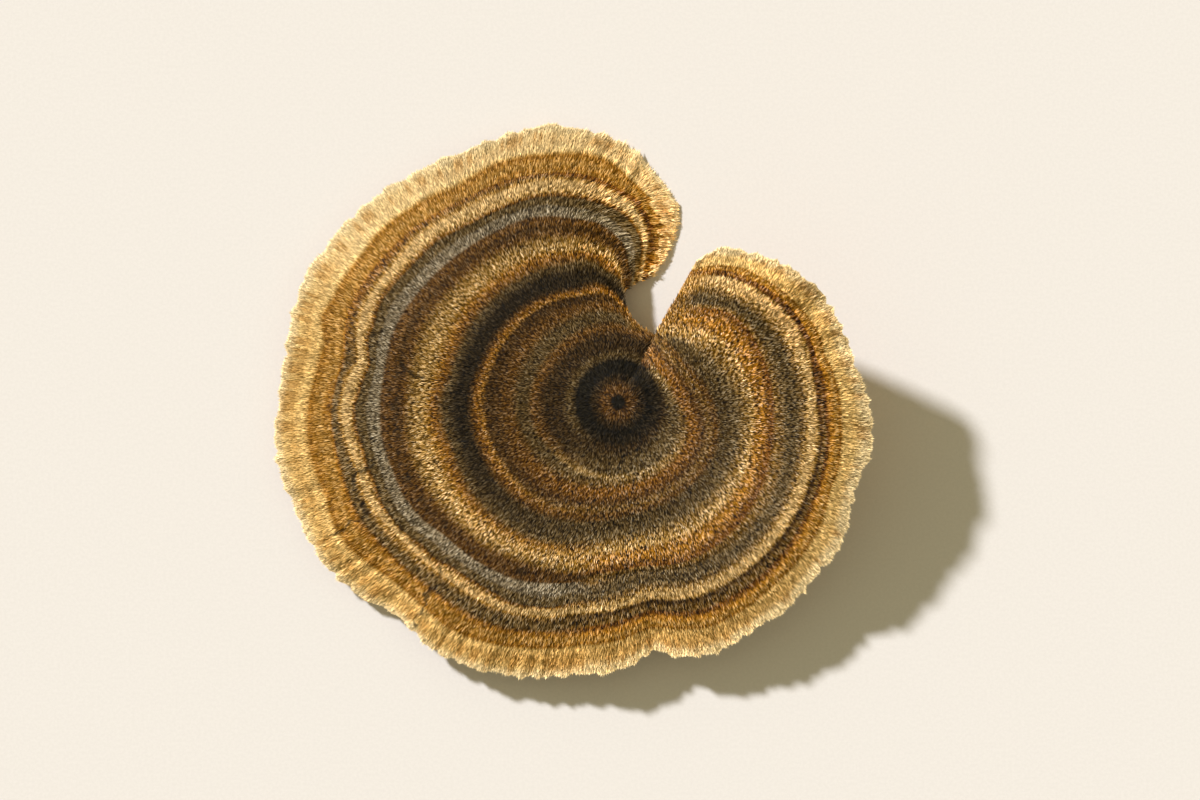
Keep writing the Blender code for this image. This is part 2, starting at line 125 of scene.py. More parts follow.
# Height of the top at five of the rings, along growth lines named by their inner angle
HEIGHT_PLACES = [0, 1, 3, 5, 9]
HEIGHTS = (
    (62, 2.7, 2.5, 2.4, 1.0, 0.45),
    (74, 3.0, 3.0, 2.3, 1.0, 0.45),
    (86, 3.1, 3.5, 2.8, 1.9, 0.45),
    (97, 3.2, 3.9, 3.9, 2.8, 0.5),
    (109, 3.3, 4.2, 4.8, 4.2, 0.9),
    (132, 3.4, 4.5, 5.6, 5.3, 1.9),
    (161, 3.3, 4.5, 5.6, 5.6, 2.5),
    (190, 3.2, 4.3, 5.2, 5.2, 2.2),
    (218, 3.1, 4.1, 4.9, 4.8, 2.0),
    (240, 3.1, 3.9, 4.8, 4.9, 2.7),
    (272, 3.1, 3.9, 4.9, 5.2, 3.9),
    (300, 3.2, 4.3, 5.7, 6.1, 4.8),
    (334, 3.5, 5.0, 7.1, 8.2, 8.1),
    (345, 3.7, 5.3, 7.8, 9.1, 9.5),
    (360, 3.9, 5.7, 8.6, 9.9, 10.5),
    (380, 4.2, 5.9, 9.9, 11.6, 12.9),
    (400, 4.1, 5.6, 10.6, 12.6, 15.0),
    (413, 3.4, 4.3, 8.1, 10.5, 13.6),
    (420.5, 2.7, 2.9, 5.0, 7.6, 11.0),
)

# Low ridges and furrows on and between the rings, and the share of their height kept at an angle
RIDGE_PLACES = (0, 0.5, 1, 1.5, 2, 2.5, 3, 3.5, 4, 4.5, 5, 6, 7, 7.5, 8, 8.5, 9)
RIDGE_HEIGHTS = (0, 0, 0.16, 0, -0.14, 0, 0.10, 0, -0.18, 0, 0.12, 0.12, -0.06, 0, 0.06, 0, 0)
RIDGE_FADE = ((75, 0.35), (120, 1.0), (290, 1.0), (360, 0.3))

# Ruffles, as waves round the cap, height and phase, and folds, as an angle, a half width and a depth.
# Both grow from the tan ring to the margin.
RUFFLES = ((11, 0.22, 0.4), (19, 0.16, 1.9), (31, 0.13, 3.1))
RUFFLE_FADE = ((100, 0.15), (135, 1.0))
RUFFLE_CURVE = 1.6
FOLDS = ((169, 4.0, 0.35), (221, 5.0, 0.45), (263, 4.0, 0.25), (278, 4.0, 0.25), (317, 4.0, 0.3),
         (338, 4.5, 0.2), (374, 4.5, 0.35))

# Fine pleats of the margin, as waves round the cap, height and phase; each also pushes the margin out.
# They grow from the inner cream ring to the ochre one, and their phase sways.
PLEATS = ((61, 0.03, 1.0), (107, 0.024, 0.0), (173, 0.012, 2.0))
PLEAT_PUSH = 4.0
PLEAT_SWAY = 2
PLEAT_SWAY_WAVES = 17


def smooth(x, stops, values):
    """A smooth curve through the values given at the stops, read at x. Values may be rows of numbers."""
    x = np.atleast_1d(np.asarray(x, float))
    stops = np.asarray(stops, float)
    values = np.asarray(values, float)
    column = (-1,) + (1,) * (values.ndim - 1)
    gap = np.diff(stops)
    slope = np.diff(values, axis=0) / gap.reshape(column)
    tangent = np.empty_like(values)
    tangent[0] = slope[0]
    tangent[-1] = slope[-1]
    share = (gap[1:] / (gap[1:] + gap[:-1])).reshape(column)
    tangent[1:-1] = slope[:-1] * share + slope[1:] * (1 - share)
    i = np.clip(np.searchsorted(stops, x, side="right") - 1, 0, len(stops) - 2)
    width = gap[i].reshape(column)
    s = ((x - stops[i]) / gap[i]).reshape(column)
    start = (1 + 2 * s) * (1 - s) ** 2 * values[i] + s * (1 - s) ** 2 * width * tangent[i]
    end = s * s * (3 - 2 * s) * values[i + 1] + s * s * (s - 1) * width * tangent[i + 1]
    return start + end


def ring_radius(ring, angle):
    """Distance of a ring from the eye, at an angle in degrees."""
    if ring == "inner":
        return INNER_RADIUS + INNER_RISE_TO_NOTCH * np.exp(-(((angle - NOTCH_ANGLE) / INNER_RISE_WIDTH) ** 2))
    if ring == "margin":
        angles, radii = zip(*MARGIN)
        return float(smooth(angle, angles, radii)[0])
    return float(smooth(angle, STATIONS, RING_RADII[ring])[0])


def drawn_growth_lines():
    """The growth lines that the whole cap is woven on: their inner angles, and a point on every ring."""
    angles = list(LOBE_ANGLES)
    lines = [list(line) for line in LOBE_LINES]
    for inner_angle, outer_angle in TURNED_LINES + tuple((a, a) for a in STRAIGHT_LINES):
        line = []
        for ring, share in zip(RINGS, TURN_SHARE):
            angle = inner_angle + (outer_angle - inner_angle) * share
            radius = ring_radius(ring, angle)
            line.append((radius * np.cos(np.radians(angle)), radius * np.sin(np.radians(angle))))
        angles.append(inner_angle)
        lines.append(line)
    lines[-1][0] = lines[0][0]
    return np.array(angles, float), np.array(lines, float)


LINE_ANGLES, LINE_POINTS = drawn_growth_lines()
DENSE_LINES = 1500                   # growth lines at which distances round the cap are measured


def even_angles(count):
    """Growth lines spread evenly along a ring half way out and along the margin together."""
    dense = np.linspace(LINE_ANGLES[0], LINE_ANGLES[-1], DENSE_LINES)
    points = smooth(dense, LINE_ANGLES, LINE_POINTS)
    travelled = np.zeros(len(dense))
    for ring in ("tan", "margin"):
        steps = np.linalg.norm(np.diff(points[:, RINGS.index(ring)], axis=0), axis=1)
        travelled[1:] += np.cumsum(steps) / steps.sum()
    return np.interp(np.linspace(0, travelled[-1], count), travelled, dense)


def top_surface(angles, reach):
    """Points of the top, a row for each reach: 0 at the eye, 1 at the inner ring and 10 at the margin."""
    reach = np.broadcast_to(np.asarray(reach, float).reshape(len(reach), -1), (len(reach), len(angles)))
    place = np.clip(reach - 1, 0, None)
    lines = smooth(angles, LINE_ANGLES, LINE_POINTS)
    height_rows = smooth(angles, [row[0] for row in HEIGHTS], [row[1:] for row in HEIGHTS])
    travelled = np.zeros(lines.shape[:2])
    travelled[:, 1:] = np.cumsum(np.linalg.norm(np.diff(lines, axis=1), axis=2), axis=1)
    plan = np.empty(reach.shape + (2,))
    height = np.empty(reach.shape)
    for i in range(len(angles)):
        plan[:, i] = smooth(place[:, i], np.arange(len(RINGS)), lines[i])
        way = smooth(place[:, i], np.arange(len(RINGS)), travelled[i])
        height[:, i] = smooth(way, travelled[i][HEIGHT_PLACES], height_rows[i])
    share = np.clip(reach, 0, 1)
    plan *= share[..., None]
    height = EYE_HEIGHT + (height - EYE_HEIGHT) * share ** EYE_CURVE
    ridge = smooth(place.ravel(), RIDGE_PLACES, RIDGE_HEIGHTS).reshape(place.shape)
    height += ridge * np.interp(angles, *zip(*RIDGE_FADE))

    tan, cream, ochre, margin = (RINGS.index(ring) for ring in ("tan", "cream_in", "ochre", "margin"))
    outward = np.clip((place - tan) / (margin - tan), 0, 1)
    turn = np.radians(angles)
    waves = sum(size * np.sin(turn * count + phase) for count, size, phase in RUFFLES)
    waves *= np.interp(angles, *zip(*RUFFLE_FADE))
    folds = sum(depth * np.exp(-(((angles - middle) / width) ** 2)) for middle, width, depth in FOLDS)
    sway = PLEAT_SWAY * np.sin(turn * PLEAT_SWAY_WAVES)
    pleats = sum(size * np.sin(turn * count + phase + sway) for count, size, phase in PLEATS)
    pleats = pleats * np.clip((place - cream) / (ochre - cream), 0, 1) ** 2
    height += (waves - folds) * outward ** RUFFLE_CURVE + pleats
    plan *= 1 + (PLEAT_PUSH * pleats / np.maximum(np.linalg.norm(plan, axis=2), 1.0))[..., None]
    return np.concatenate((plan + EYE, height[..., None]), axis=2)


def flesh(reach):
    """Thickness of the cap at a reach."""
    share = np.clip(np.asarray(reach, float) - 1, 0, None) / (len(RINGS) - 1)
    return FLESH_AT_EYE + (FLESH_AT_MARGIN - FLESH_AT_EYE) * share ** FLESH_CURVE


# Colour zones count outward from the eye: 1 disc, 2 black ring, 3 and 4 two faint lines, then the rings
DISC_RADIUS = 2.0
BLACK_RING_RADIUS = 4.5
FIRST_LINE = ((62, 7.45), (74, 7.2), (90, 7.6), (110, 7.7), (150, 8.0), (190, 8.5), (215, 7.9),
              (250, 7.1), (270, 6.8), (310, 6.2), (340, 5.6), (360, 4.9), (390, 4.7), (421, 4.9))
SECOND_LINE = ((62, 7.9), (74, 8.9), (90, 9.4), (120, 10.0), (150, 10.4), (180, 10.6), (210, 10.2),
               (240, 9.4), (265, 8.6), (310, 8.2), (330, 7.9), (345, 7.2), (360, 6.0), (380, 5.4),
               (400, 5.1), (421, 5.8))

# The bands wander from their rings: at an angle, the share of a zone by which an edge lies further out
BAND_EDGES = {
    5: ((62, 0.45), (72, 0.4), (84, 0.2), (96, 0.1), (114, 0.0), (161, 0.0), (180, 0.1), (230, 0.2),
        (262, 0.2), (285, 0.0), (421, 0.0)),
    6: ((62, 0.3), (74, 0.2), (84, -0.15), (96, 0.05), (108, 0.05), (120, -0.12), (153, -0.1),
        (172, -0.15), (180, 0.05), (195, -0.12), (210, 0.03), (240, 0.2), (262, -0.05), (320, 0.0),
        (370, 0.1), (385, 0.25), (400, 0.0), (421, -0.5)),
    7: ((62, -0.15), (84, -0.2), (96, 0.05), (128, 0.0), (140, -0.1), (175, -0.12), (205, 0.0),
        (240, 0.1), (256, 0.3), (266, 0.1), (285, 0.0), (421, 0.0)),
    8: ((62, 0.0), (78, 0.05), (84, 0.1), (108, 0.0), (136, -0.1), (165, -0.08), (178, 0.0), (197, -0.08),
        (205, 0.1), (211, 0.2), (218, 0.0), (240, 0.08), (256, 0.1), (263, 0.35), (270, 0.1), (300, 0.0),
        (370, 0.1), (390, 0.0), (400, -0.2), (421, -0.2)),
    9: ((62, -0.1), (78, 0.2), (90, 0.25), (102, 0.1), (114, -0.05), (124, -0.2), (134, -0.25),
        (138, -0.15), (142, 0.0), (148, -0.1), (158, 0.0), (164, -0.15), (167, 0.0), (172, -0.28),
        (176, 0.05), (181, 0.25), (186, 0.0), (190, -0.18), (198, -0.15), (203, 0.1), (208, 0.3),
        (212, 0.3), (216, 0.05), (220, 0.08), (224, -0.15), (232, -0.15), (237, -0.05), (241, 0.15),
        (246, 0.3), (252, 0.3), (256, 0.05), (262, -0.05), (280, 0.0), (320, 0.05), (350, 0.0),
        (365, 0.05), (375, -0.1), (400, -0.15), (412, -0.1), (421, -0.4)),
    10: ((62, 0.1), (78, 0.15), (90, 0.2), (100, 0.45), (114, 0.25), (124, 0.05), (134, -0.15),
         (141, -0.05), (144, 0.15), (148, -0.05), (153, -0.15), (165, -0.05), (172, -0.5), (175, 0.2),
         (178, 0.35), (182, 0.3), (186, -0.05), (190, -0.3), (195, -0.55), (197, -0.1), (200, 0.15),
         (205, 0.4), (212, 0.45), (218, 0.35), (224, 0.1), (236, -0.05), (242, 0.1), (250, 0.3),
         (256, 0.2), (260, 0.05), (280, 0.05), (300, -0.05), (335, -0.05), (350, 0.1), (370, 0.1),
         (376, 0.3), (385, 0.45), (398, 0.5), (404, 0.75), (410, 0.95), (421, 0.4)),
    11: ((62, 0.3), (84, 0.0), (108, 0.05), (120, 0.0), (125, 0.1), (129, -0.1), (132, -0.6), (136, -0.5),
         (140, -0.2), (145, 0.0), (165, -0.05), (170, -0.45), (173, -0.4), (176, 0.0), (179, 0.15),
         (182, 0.15), (185, -0.1), (188, -0.4), (192, -0.4), (196, -0.2), (200, 0.0), (205, 0.15),
         (212, 0.05), (270, 0.08), (300, 0.0), (340, 0.05), (368, 0.1), (372, -0.2), (378, 0.0),
         (385, 0.15), (400, 0.2), (410, 0.5), (421, 0.2)),
    12: ((62, 0.0), (78, 0.0), (90, -0.1), (101, -0.2), (106, -0.05), (117, -0.15), (127, -0.05),
         (134, -0.4), (139, -0.2), (146, -0.05), (150, -0.05), (153, -0.2), (162, -0.2), (166, 0.05),
         (170, -0.2), (174, 0.0), (180, 0.1), (190, -0.1), (198, -0.25), (202, -0.05), (208, 0.05),
         (216, -0.2), (220, -0.25), (228, 0.0), (233, 0.1), (241, -0.15), (262, -0.2), (266, 0.0),
         (270, 0.1), (285, 0.0), (328, 0.0), (333, -0.15), (338, -0.25), (343, -0.05), (362, 0.0),
         (368, -0.1), (373, -0.35), (377, -0.05), (395, 0.1), (421, 0.0)),
}


def colour_zones(angles, points):
    """The colour zone of each point of a grid, by its distance from the eye along its growth line."""
    ring_points = smooth(angles, LINE_ANGLES, LINE_POINTS)[:, 1:]
    rings = np.linalg.norm(ring_points, axis=2)
    first = smooth(angles, *zip(*FIRST_LINE))
    second = smooth(angles, *zip(*SECOND_LINE))
    distance = np.linalg.norm(points[..., :2] - EYE, axis=2)
    zones = np.empty(distance.shape)
    for i in range(len(angles)):
        radii = (0, DISC_RADIUS, BLACK_RING_RADIUS, first[i], second[i], *rings[i])
        numbers = np.arange(len(radii), dtype=float)
        edges = numbers.copy()
        for zone, shifts in BAND_EDGES.items():
            edges[zone] += np.interp(angles[i], *zip(*shifts))
        rings_passed = np.interp(distance[:, i], radii, numbers)
        zones[:, i] = np.interp(rings_passed, edges, numbers)
    return zones


def paint(red, green, blue):
    """A colour of the screen, 0 to 255, as the linear colour that a shader takes."""
    return tuple((part / 255) ** 2.2 for part in (red, green, blue)) + (1.0,)


class Wire:
    """An output socket in a material's nodes. Arithmetic on wires adds Math nodes."""

    def __init__(self, tree, socket=None):
        self.tree = tree
        self.socket = socket

    def node(self, kind, settings=None, inputs=None, output=0):
        """Adds a node: its settings, then the values or wires of its sockets. Gives one of its outputs."""
        made = self.tree.nodes.new("ShaderNode" + kind)
        for name, value in (settings or {}).items():
            if name == "stops":
                elements = made.color_ramp.elements
                while len(elements) < len(value):
                    elements.new(1.0)
                for element, (position, colour) in zip(elements, value):
                    element.position = position
                    element.color = colour
            else:
                setattr(made, name, value)
        for name, value in (inputs or {}).items():
            if isinstance(value, Wire):
                self.tree.links.new(value.socket, made.inputs[name])
            else:
                made.inputs[name].default_value = value
        return Wire(self.tree, made.outputs[output])

    def kept(self, name):
        """The number that the mesh keeps on its points under a name."""
        return self.node("Attribute", {"attribute_name": name}, output="Fac")

    def noise(self, scale, **more):
        """Noise from 0 to 1. The scale is the number of grains to a metre, about."""
        place = self.node("TexCoord", output="Object")
        return self.node("TexNoise", None, {"Vector": place, "Scale": scale, **more})

    def math(self, operation, *values):
        return self.node("Math", {"operation": operation}, dict(enumerate(values)))

    def __add__(self, other):
        return self.math("ADD", self, other)

    __radd__ = __add__

    def __sub__(self, other):
        return self.math("SUBTRACT", self, other)

    def __rsub__(self, other):
        return self.math("SUBTRACT", other, self)

    def __mul__(self, other):
        return self.math("MULTIPLY", self, other)

    __rmul__ = __mul__

    def ramp(self, low, high):
        """0 below low and 1 above high, with a soft passage."""
        settings = {"interpolation_type": "SMOOTHSTEP"}
        return self.node("MapRange", settings, {"Value": self, "From Min": low, "From Max": high})

    def hump(self, middle, half_width):
        """1 at the middle, falling softly to 0 at half_width on both sides."""
        return 1 - self.math("ABSOLUTE", self - middle).ramp(0.0, half_width)

    def mix(self, first, second):
        """Mixes two colours by this factor."""
        return self.node("Mix", {"data_type": "RGBA"}, {0: self, 6: first, 7: second}, output=2)


SOOT = paint(30, 25, 15)
COAL = paint(48, 38, 23)
UMBER = paint(62, 46, 25)
BARK = paint(80, 57, 29)
OLIVE = paint(92, 74, 47)
WALNUT = paint(95, 66, 34)
CHESTNUT = paint(110, 77, 39)
STONE = paint(112, 92, 62)
RUST = paint(124, 78, 33)
DRAB = paint(128, 98, 58)
SILVER = paint(136, 121, 98)
AMBER = paint(138, 93, 41)
CAMEL = paint(146, 113, 66)
OCHRE = paint(162, 115, 55)
TAN = paint(172, 132, 76)
HONEY = paint(186, 132, 63)
STRAW = paint(191, 154, 100)
CREAM = paint(207, 173, 121)
GOLD = paint(212, 170, 104)
PALE = paint(226, 190, 126)
IVORY = paint(234, 209, 161)

# The growth bands from the eye to the margin, on the left side and on the right
HALF_WAY = 6.0
HALF_WAY_SOFT = 0.03
LEFT_BANDS = ((0.0, SOOT), (0.3, SOOT), (0.45, WALNUT), (0.8, WALNUT), (1.05, UMBER), (1.4, SOOT),
              (1.85, SOOT), (2.1, OLIVE), (2.3, UMBER), (2.7, UMBER), (3.0, CHESTNUT), (3.3, OLIVE),
              (3.7, OLIVE), (4.1, CHESTNUT), (4.45, BARK), (4.66, BARK), (4.78, OCHRE), (4.9, AMBER),
              (5.02, BARK), (5.15, COAL), (5.45, COAL), (5.75, OLIVE), (6.0, AMBER), (6.15, OCHRE),
              (6.35, TAN), (6.48, STRAW), (6.68, STRAW), (6.95, CAMEL), (7.2, CHESTNUT), (7.45, BARK),
              (7.7, CHESTNUT), (7.88, WALNUT), (7.98, SILVER), (8.38, SILVER), (8.5, STONE), (8.7, STONE),
              (8.82, OLIVE), (8.93, AMBER), (9.1, STRAW), (9.35, CREAM), (9.65, CREAM), (9.85, TAN),
              (10.05, DRAB), (10.5, DRAB), (10.95, AMBER), (11.15, OCHRE), (11.4, TAN), (11.9, OCHRE),
              (12.13, PALE), (12.4, GOLD), (12.65, PALE), (12.85, IVORY))
RIGHT_BANDS = ((0.0, SOOT), (0.3, SOOT), (0.45, WALNUT), (0.8, WALNUT), (1.05, UMBER), (1.4, SOOT),
               (1.85, COAL), (2.1, UMBER), (2.6, OLIVE), (3.4, STONE), (3.85, DRAB), (4.1, AMBER),
               (4.25, AMBER), (4.5, WALNUT), (4.75, DRAB), (4.95, CHESTNUT), (5.15, OLIVE), (5.4, OLIVE),
               (5.7, STONE), (6.0, CAMEL), (6.28, STRAW), (6.45, OCHRE), (6.65, HONEY), (6.92, AMBER),
               (7.1, RUST), (7.55, CAMEL), (7.85, DRAB), (8.15, STONE), (8.4, OLIVE), (8.65, STONE),
               (8.9, DRAB), (9.15, STRAW), (9.35, CREAM), (9.6, CREAM), (9.78, STRAW), (9.9, CAMEL),
               (10.02, BARK), (10.15, BARK), (10.35, DRAB), (10.65, DRAB), (10.85, RUST), (11.05, AMBER),
               (11.25, HONEY), (11.6, TAN), (11.85, OCHRE), (12.15, PALE), (12.4, PALE), (12.7, IVORY))

# How far noise frays the bands: the fine and the coarse in zones, and the coarse in degrees of turn
FINE_FRAY = 0.06
COARSE_FRAY = 0.07
TURN_FRAY = 16.0

# Cracks and sooty spots: the turn and zone where each begins and ends, and its half width in degrees
CRACKS = ((164.5, 8.2, 165.5, 8.8, 0.3), (173.3, 6.6, 170.5, 7.5, 0.6), (193.5, 8.5, 195.0, 9.6, 0.3),
          (194.5, 9.6, 195.5, 10.2, 0.5), (196.0, 10.1, 197.0, 10.4, 1.4),
          (203.3, 9.95, 204.0, 10.45, 1.5), (204.7, 10.45, 204.7, 12.3, 0.25),
          (222.3, 9.05, 224.3, 10.0, 0.35), (225.3, 10.3, 225.6, 11.3, 0.4),
          (225.6, 11.3, 227.2, 12.8, 0.3))


def bands_of_side(zone, bands):
    """The colours of one side, read at the zone. One ramp holds too few stops, so the rings have a second."""
    halves = [stop for stop in bands if stop[0] <= HALF_WAY], [stop for stop in bands if stop[0] >= HALF_WAY]
    colours = []
    for half in halves:
        first = half[0][0]
        last = half[-1][0]
        stops = [((place - first) / (last - first), colour) for place, colour in half]
        position = (zone - first) * (1 / (last - first))
        colours.append(zone.node("ValToRGB", {"stops": stops}, {"Fac": position}))
    return zone.ramp(HALF_WAY - HALF_WAY_SOFT, HALF_WAY + HALF_WAY_SOFT).mix(*colours)


def banded_colour(start):
    """The colour of the velvet, by each point's zone, turn round the eye and lap along the margin."""
    wobble = start.noise(700.0, Detail=2.0, Roughness=0.6) - 0.5
    drift = start.noise(160.0, Detail=2.0) - 0.5
    zone = start.kept("zone") + wobble * FINE_FRAY + drift * COARSE_FRAY
    true_turn = start.kept("turn")
    turn = true_turn + drift * TURN_FRAY
    lap = start.kept("lap")
    right = zone.ramp(5.0, 7.0) * (turn.ramp(250, 272) - turn.ramp(195, 262)) + turn.ramp(195, 262)
    colour = right.mix(bands_of_side(zone, LEFT_BANDS), bands_of_side(zone, RIGHT_BANDS))

    def between(inner, outer, soft):
        """1 in the zones from inner to outer."""
        return zone.ramp(inner - soft, inner + soft) * zone.ramp(outer + soft, outer - soft)

    def wash(strength, inner, outer, pigment, soft=0.2):
        """Lays a pigment over the zones between inner and outer."""
        return (between(inner, outer, soft) * strength).mix(colour, pigment)

    # a pale ring runs outward from the lower left of the heart, which is bleached on the raised lobe
    # and russet where that meets the notch
    pale_ring = (zone - turn * 0.0065).hump(1.68, 0.3) * turn.ramp(205, 240) * turn.ramp(345, 310)
    colour = (pale_ring * 0.55).mix(colour, STRAW)
    colour = wash(turn.ramp(362, 392) * (0.45 - turn.ramp(398, 408) * 0.4), 2.0, 3.95, STRAW)
    colour = wash(turn.ramp(398, 408) * 0.6, 2.1, 3.9, RUST)

    # the outer dark band is grey at the lower left, where the inner one is sooty, amber at the upper
    # left, russet towards the notch on both lobes and honey at the tip of the hooked one
    lower_left = turn.ramp(166, 180) * turn.ramp(268, 252)
    colour = wash(lower_left * 0.75, 10.15, 10.9, STONE)
    colour = wash(lower_left * 0.7, 7.3, 7.85, WALNUT)
    colour = wash(lower_left * wobble.ramp(0.0, 0.14) * 0.75, 7.35, 7.7, COAL)
    colour = wash(turn.ramp(174, 160) * 0.95, 10.1, 10.95, AMBER)
    colour = wash(turn.ramp(122, 106) * 0.75, 10.0, 11.0, RUST)
    colour = wash(turn.ramp(340, 375) * 0.85, 9.95, 10.95, RUST, 0.1)
    colour = wash(turn.ramp(88, 74) * 0.65, 9.5, 11.0, HONEY)
    colour = wash(turn.ramp(100, 120) * 0.25, 11.8, 11.9, AMBER, 0.07)

    # at the notch the hooked lobe's bands turn brown and straw and the raised lobe's tan and honey;
    # the margin is palest at the upper left and warmest at the bottom
    colour = wash(turn.ramp(80, 66) * 0.6, 3.2, 4.9, OCHRE)
    colour = wash(turn.ramp(82, 68) * 0.75, 6.1, 6.9, WALNUT)
    colour = wash(turn.ramp(82, 68) * 0.85, 7.8, 8.3, WALNUT)
    colour = wash(turn.ramp(82, 68) * 0.85, 8.6, 9.7, STRAW)
    colour = wash(turn.ramp(82, 68) * 0.3, 11.3, 11.9, AMBER)
    colour = wash(turn.ramp(108, 96) * 0.45, 9.2, 9.75, IVORY)
    colour = wash(turn.ramp(172, 150) * 0.5, 12.1, 13.5, IVORY, 0.1)
    colour = wash(turn.ramp(403, 415) * 0.65, 5.0, 8.1, TAN)
    colour = wash(turn.ramp(410, 419) * 0.5, 7.0, 11.0, HONEY)
    colour = wash(turn.hump(285, 60) * 0.4, 12.1, 12.6, HONEY, 0.1)

    for turn_in, zone_in, turn_out, zone_out, half_width in CRACKS:
        slope = (turn_out - turn_in) / (zone_out - zone_in)
        off_crack = true_turn + wobble * 5.0 - zone * slope - (turn_in - zone_in * slope)
        in_crack = off_crack.hump(0.0, half_width * 2) * between(zone_in, zone_out, 0.04)
        colour = (in_crack * 0.8).mix(colour, COAL)

    # streaks that run outward over the outer bands, and brown spots between the pleats of the margin
    along = start.node("CombineXYZ", None, {"X": lap * 1.1, "Y": zone * 0.35})
    flat = {"noise_dimensions": "2D"}
    streak = start.node("TexNoise", flat, {"Vector": along, "Scale": 1.0, "Detail": 2.0})
    colour = (streak.ramp(0.48, 0.6) * zone.hump(12.6, 0.4) * 0.65).mix(colour, OCHRE)
    shade = 1 + (streak - 0.5) * 0.5 * zone.ramp(7.5, 10.0)

    # painted light and shade by turn round the eye, evening out how the lamp falls: the velvet is painted
    # deepest at the upper left and palest on the lobes beside the notch, and the margin is painted lighter
    # at the bottom and on the hooked lobe, where its hairs turn from the lamp
    side = turn.ramp(112, 98) * 0.42 - turn.ramp(110, 126) * turn.ramp(196, 172) * 0.14
    side = side + turn.hump(216, 26) * 0.12 - turn.hump(310, 40) * 0.08
    side = side + turn.ramp(355, 385) * 0.3 - turn.ramp(400, 412) * 0.25
    painted_margin_light = turn.hump(285, 60) * 0.4 + turn.ramp(104, 88) * 0.35
    shade = shade * (1 + side * zone.ramp(3.0, 5.0)) * (1 + painted_margin_light * zone.ramp(11.9, 12.9))
    return start.node("VectorMath", {"operation": "SCALE"}, {"Vector": colour, "Scale": shade})


def new_material(name, roughness, colour, gain, normal=None):
    """A dull organic surface. gain makes up for the light that the hairs keep from each other."""
    material = bpy.data.materials.new(name)
    material.use_nodes = True
    tree = material.node_tree
    shader = tree.nodes["Principled BSDF"]
    shader.inputs["Roughness"].default_value = roughness
    shader.inputs["Specular IOR Level"].default_value = 0.25
    start = Wire(tree)
    painted = colour(start)
    lit = start.node("VectorMath", {"operation": "SCALE"}, {"Vector": painted, "Scale": gain})
    tree.links.new(lit.socket, shader.inputs["Base Color"])
    if normal:
        tree.links.new(normal(start).socket, shader.inputs["Normal"])
    return material


def skin_colour(start):
    """Painted shade between the hairs: each band's own colour, darkened to half and more saturated."""
    painted_shade = {"Saturation": 1.15, "Value": 0.5, "Color": banded_colour(start)}
    return start.node("HueSaturation", None, painted_shade)


def new_piece(name, points, faces, values, material):
    """An object from points in millimetres, its faces, and the numbers kept on each of its points."""
    mesh = bpy.data.meshes.new(name)
    faces = np.asarray(faces)
    mesh.vertices.add(len(points))
    mesh.vertices.foreach_set("co", (points * MM).astype(np.float32).ravel())
    mesh.loops.add(faces.size)
    mesh.loops.foreach_set("vertex_index", faces.ravel().astype(np.int32))
    mesh.polygons.add(len(faces))
    mesh.polygons.foreach_set("loop_start", np.arange(0, faces.size, faces.shape[1], dtype=np.int32))
    mesh.update(calc_edges=True)
    for value_name, numbers in values.items():
        attribute = mesh.attributes.new(value_name, "FLOAT", "POINT")
        attribute.data.foreach_set("value", numbers.astype(np.float32))
    mesh.materials.append(material)
    piece = bpy.data.objects.new(name, mesh)
    bpy.context.scene.collection.objects.link(piece)
    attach(piece, "root")
    return piece


def bake_map(piece, across, along):
    """The piece's flat map: a place from 0 to 1 for each of its points."""
    loops = np.empty(len(piece.data.loops), np.int32)
    piece.data.loops.foreach_get("vertex_index", loops)
    flat = np.column_stack((across[loops], along[loops]))
    piece.data.uv_layers.new(name="OFBake").data.foreach_set("uv", flat.astype(np.float32).ravel())


def bake_grid(piece, rows, columns):
    """The flat map of a piece that is a grid: its columns across and its rows along."""
    across = np.tile(np.linspace(0, 1, columns), rows)
    along = np.repeat(np.linspace(0, 1, rows), columns)
    bake_map(piece, across, along)


def grid_faces(rows, columns):
    """Faces between the points of a grid that is numbered row by row, wound to face up."""
    corner = (np.arange(rows - 1)[:, None] * columns + np.arange(columns - 1)).ravel()
    return np.column_stack((corner, corner + columns, corner + columns + 1, corner + 1))


def rim_rows(top_edge, under_edge, bulge, count):
    """Rows from the top edge of the flesh round to its lower edge, which bulge out between them."""
    along = np.gradient(top_edge[:, :2], axis=0)
    outward = np.column_stack((along[:, 1], -along[:, 0]))
    outward /= np.linalg.norm(outward, axis=1)[:, None] + 1e-9
    rows = []
    for share in np.linspace(0, 1, count):
        row = top_edge + (under_edge - top_edge) * share
        row[:, :2] += outward * (bulge * np.sin(np.pi * share))[:, None]
        rows.append(row)
    return np.array(rows)


def open_border(grid, inner_row):
    """The open border of a grid: out along its first line, round its last row, back along its last line."""
    return np.concatenate((grid[inner_row:, 0], grid[-1, 1:-1], grid[:inner_row - 1:-1, -1]))


SKIN_COLUMNS = 620
SKIN_ROWS = 76
EYE_ROWS = 12                        # those within the inner ring
SKIN_EDGE = 9.86                     # the fringe of the velvet hides the rest
MARGIN_LENGTH = 190.0
skin_angles = even_angles(SKIN_COLUMNS)
skin_reach = np.concatenate((np.linspace(0, 1, EYE_ROWS + 1)[:-1],
                             np.linspace(1, SKIN_EDGE, SKIN_ROWS - EYE_ROWS)))
skin_top = top_surface(skin_angles, skin_reach)
skin_zones = colour_zones(skin_angles, skin_top)
skin_lap = np.linspace(0, MARGIN_LENGTH, SKIN_COLUMNS)
skin = new_piece(
    "cap_skin", skin_top.reshape(-1, 3), grid_faces(SKIN_ROWS, SKIN_COLUMNS),
    {"zone": skin_zones.ravel(), "turn": np.tile(skin_angles, SKIN_ROWS),
     "lap": np.tile(skin_lap, SKIN_ROWS)},
    new_material("velvet_ground", 0.9, skin_colour, 1.0))
bake_grid(skin, SKIN_ROWS, SKIN_COLUMNS)
skin.data.shade_smooth()
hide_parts("cap")


